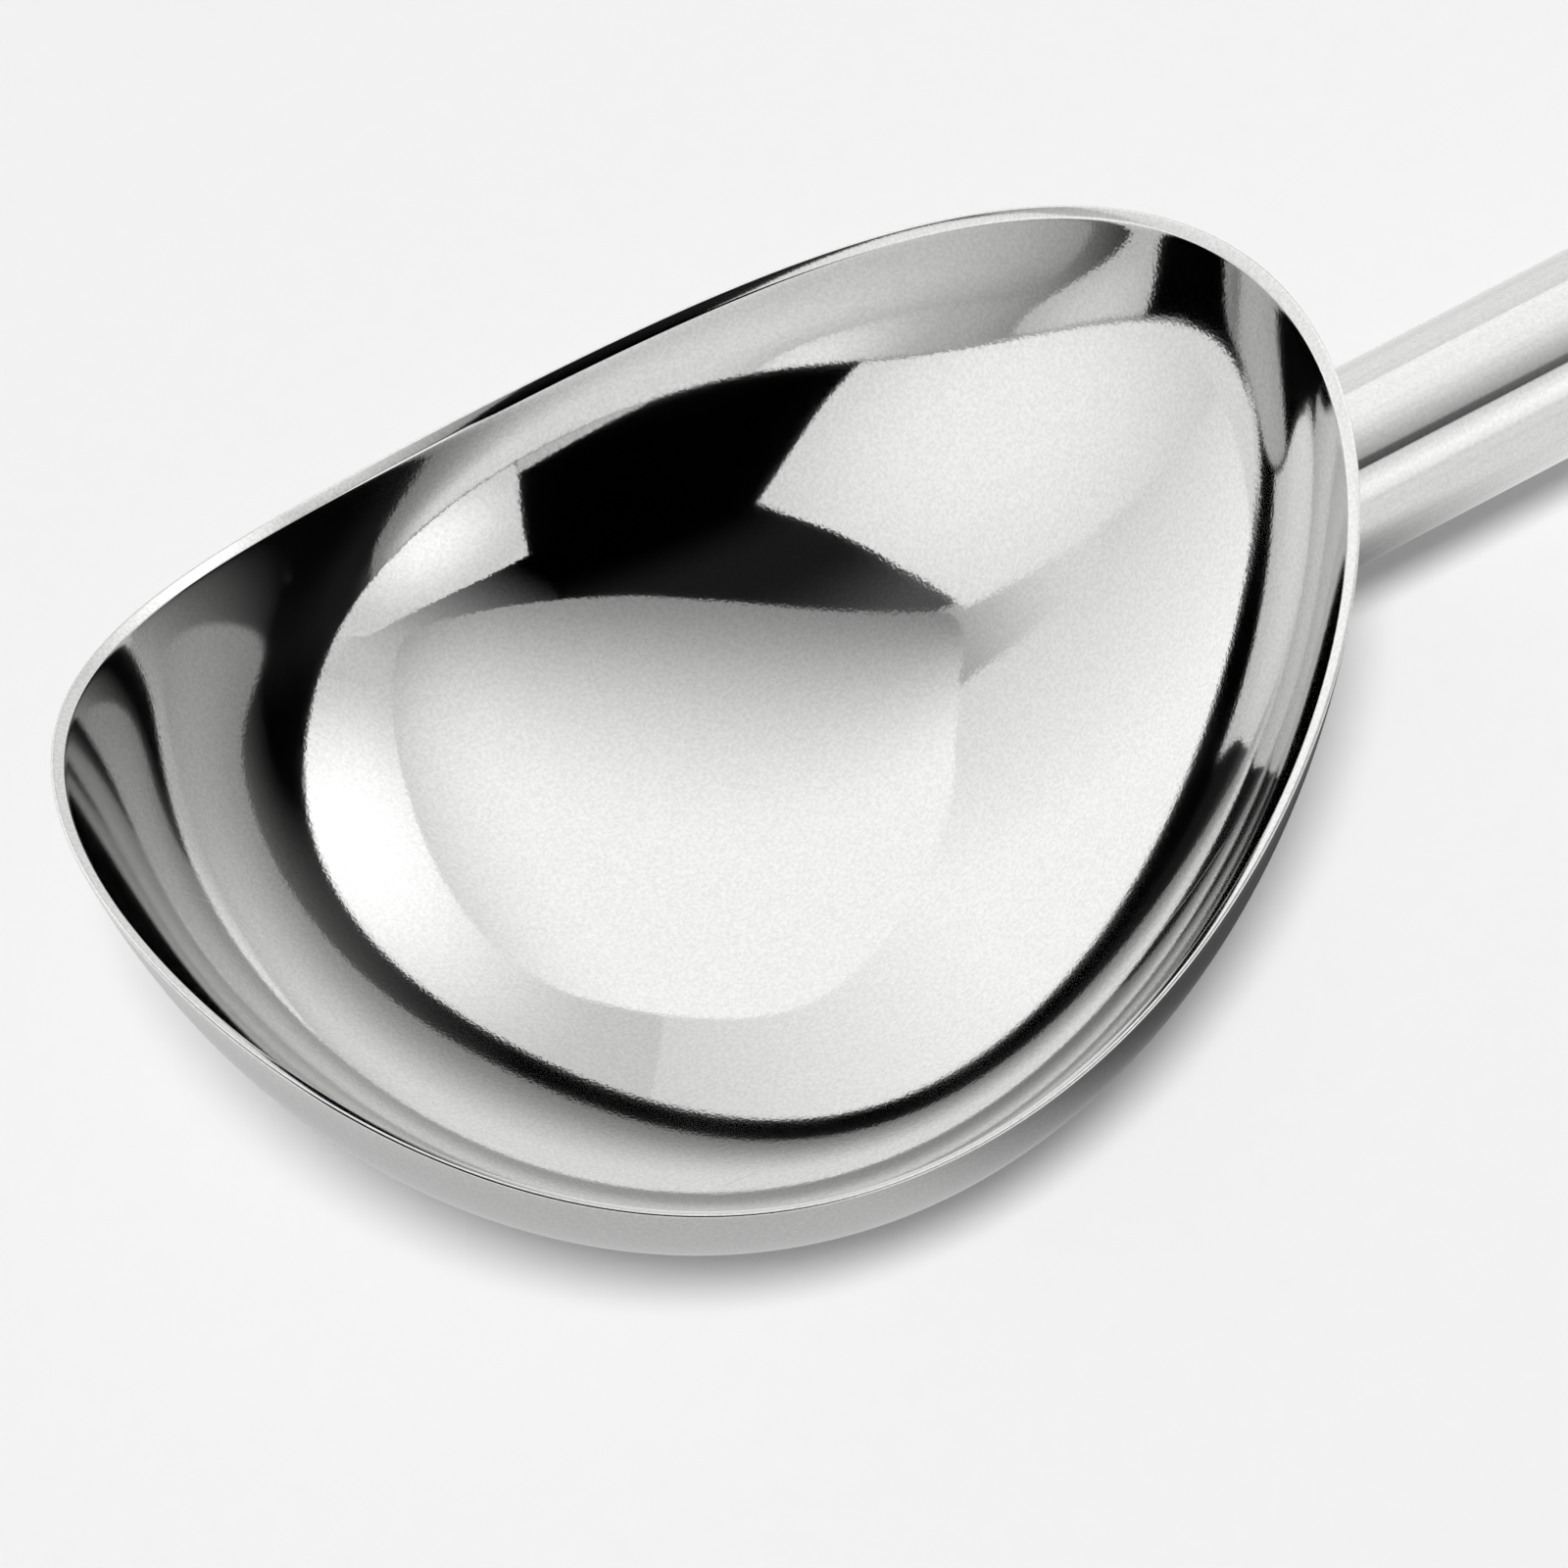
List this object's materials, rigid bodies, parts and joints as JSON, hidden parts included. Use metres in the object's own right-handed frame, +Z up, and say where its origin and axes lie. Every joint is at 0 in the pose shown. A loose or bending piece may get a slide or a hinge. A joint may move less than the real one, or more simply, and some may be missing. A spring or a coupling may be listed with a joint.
{
  "type": "ice cream scoop",
  "caption": "One-piece ice cream scoop: a mirror-polished pressed steel bowl with a dipped lip, welded to a round tube handle.",
  "frame": {"origin": "on the table, under the middle of the scoop's bounding box", "axes": "+X from the bowl to the handle's end, +Y across the bowl, +Z up; the scoop lies on its bowl's belly and its handle's end"},
  "size_m": [0.208, 0.0592, 0.0311],
  "materials": {
    "bowl_steel": "mirror polished stainless steel",
    "tube_steel": "polished drawn stainless steel tube",
    "turned_steel": "turned stainless steel, unpolished",
    "weld_steel": "ground and buffed weld"
  },
  "bodies": {
    "root": {"bowl": "bowl_steel", "handle_tube": "tube_steel", "neck_plug": "turned_steel", "neck_weld": "weld_steel", "end_cap": "tube_steel"}
  },
  "joints": []
}
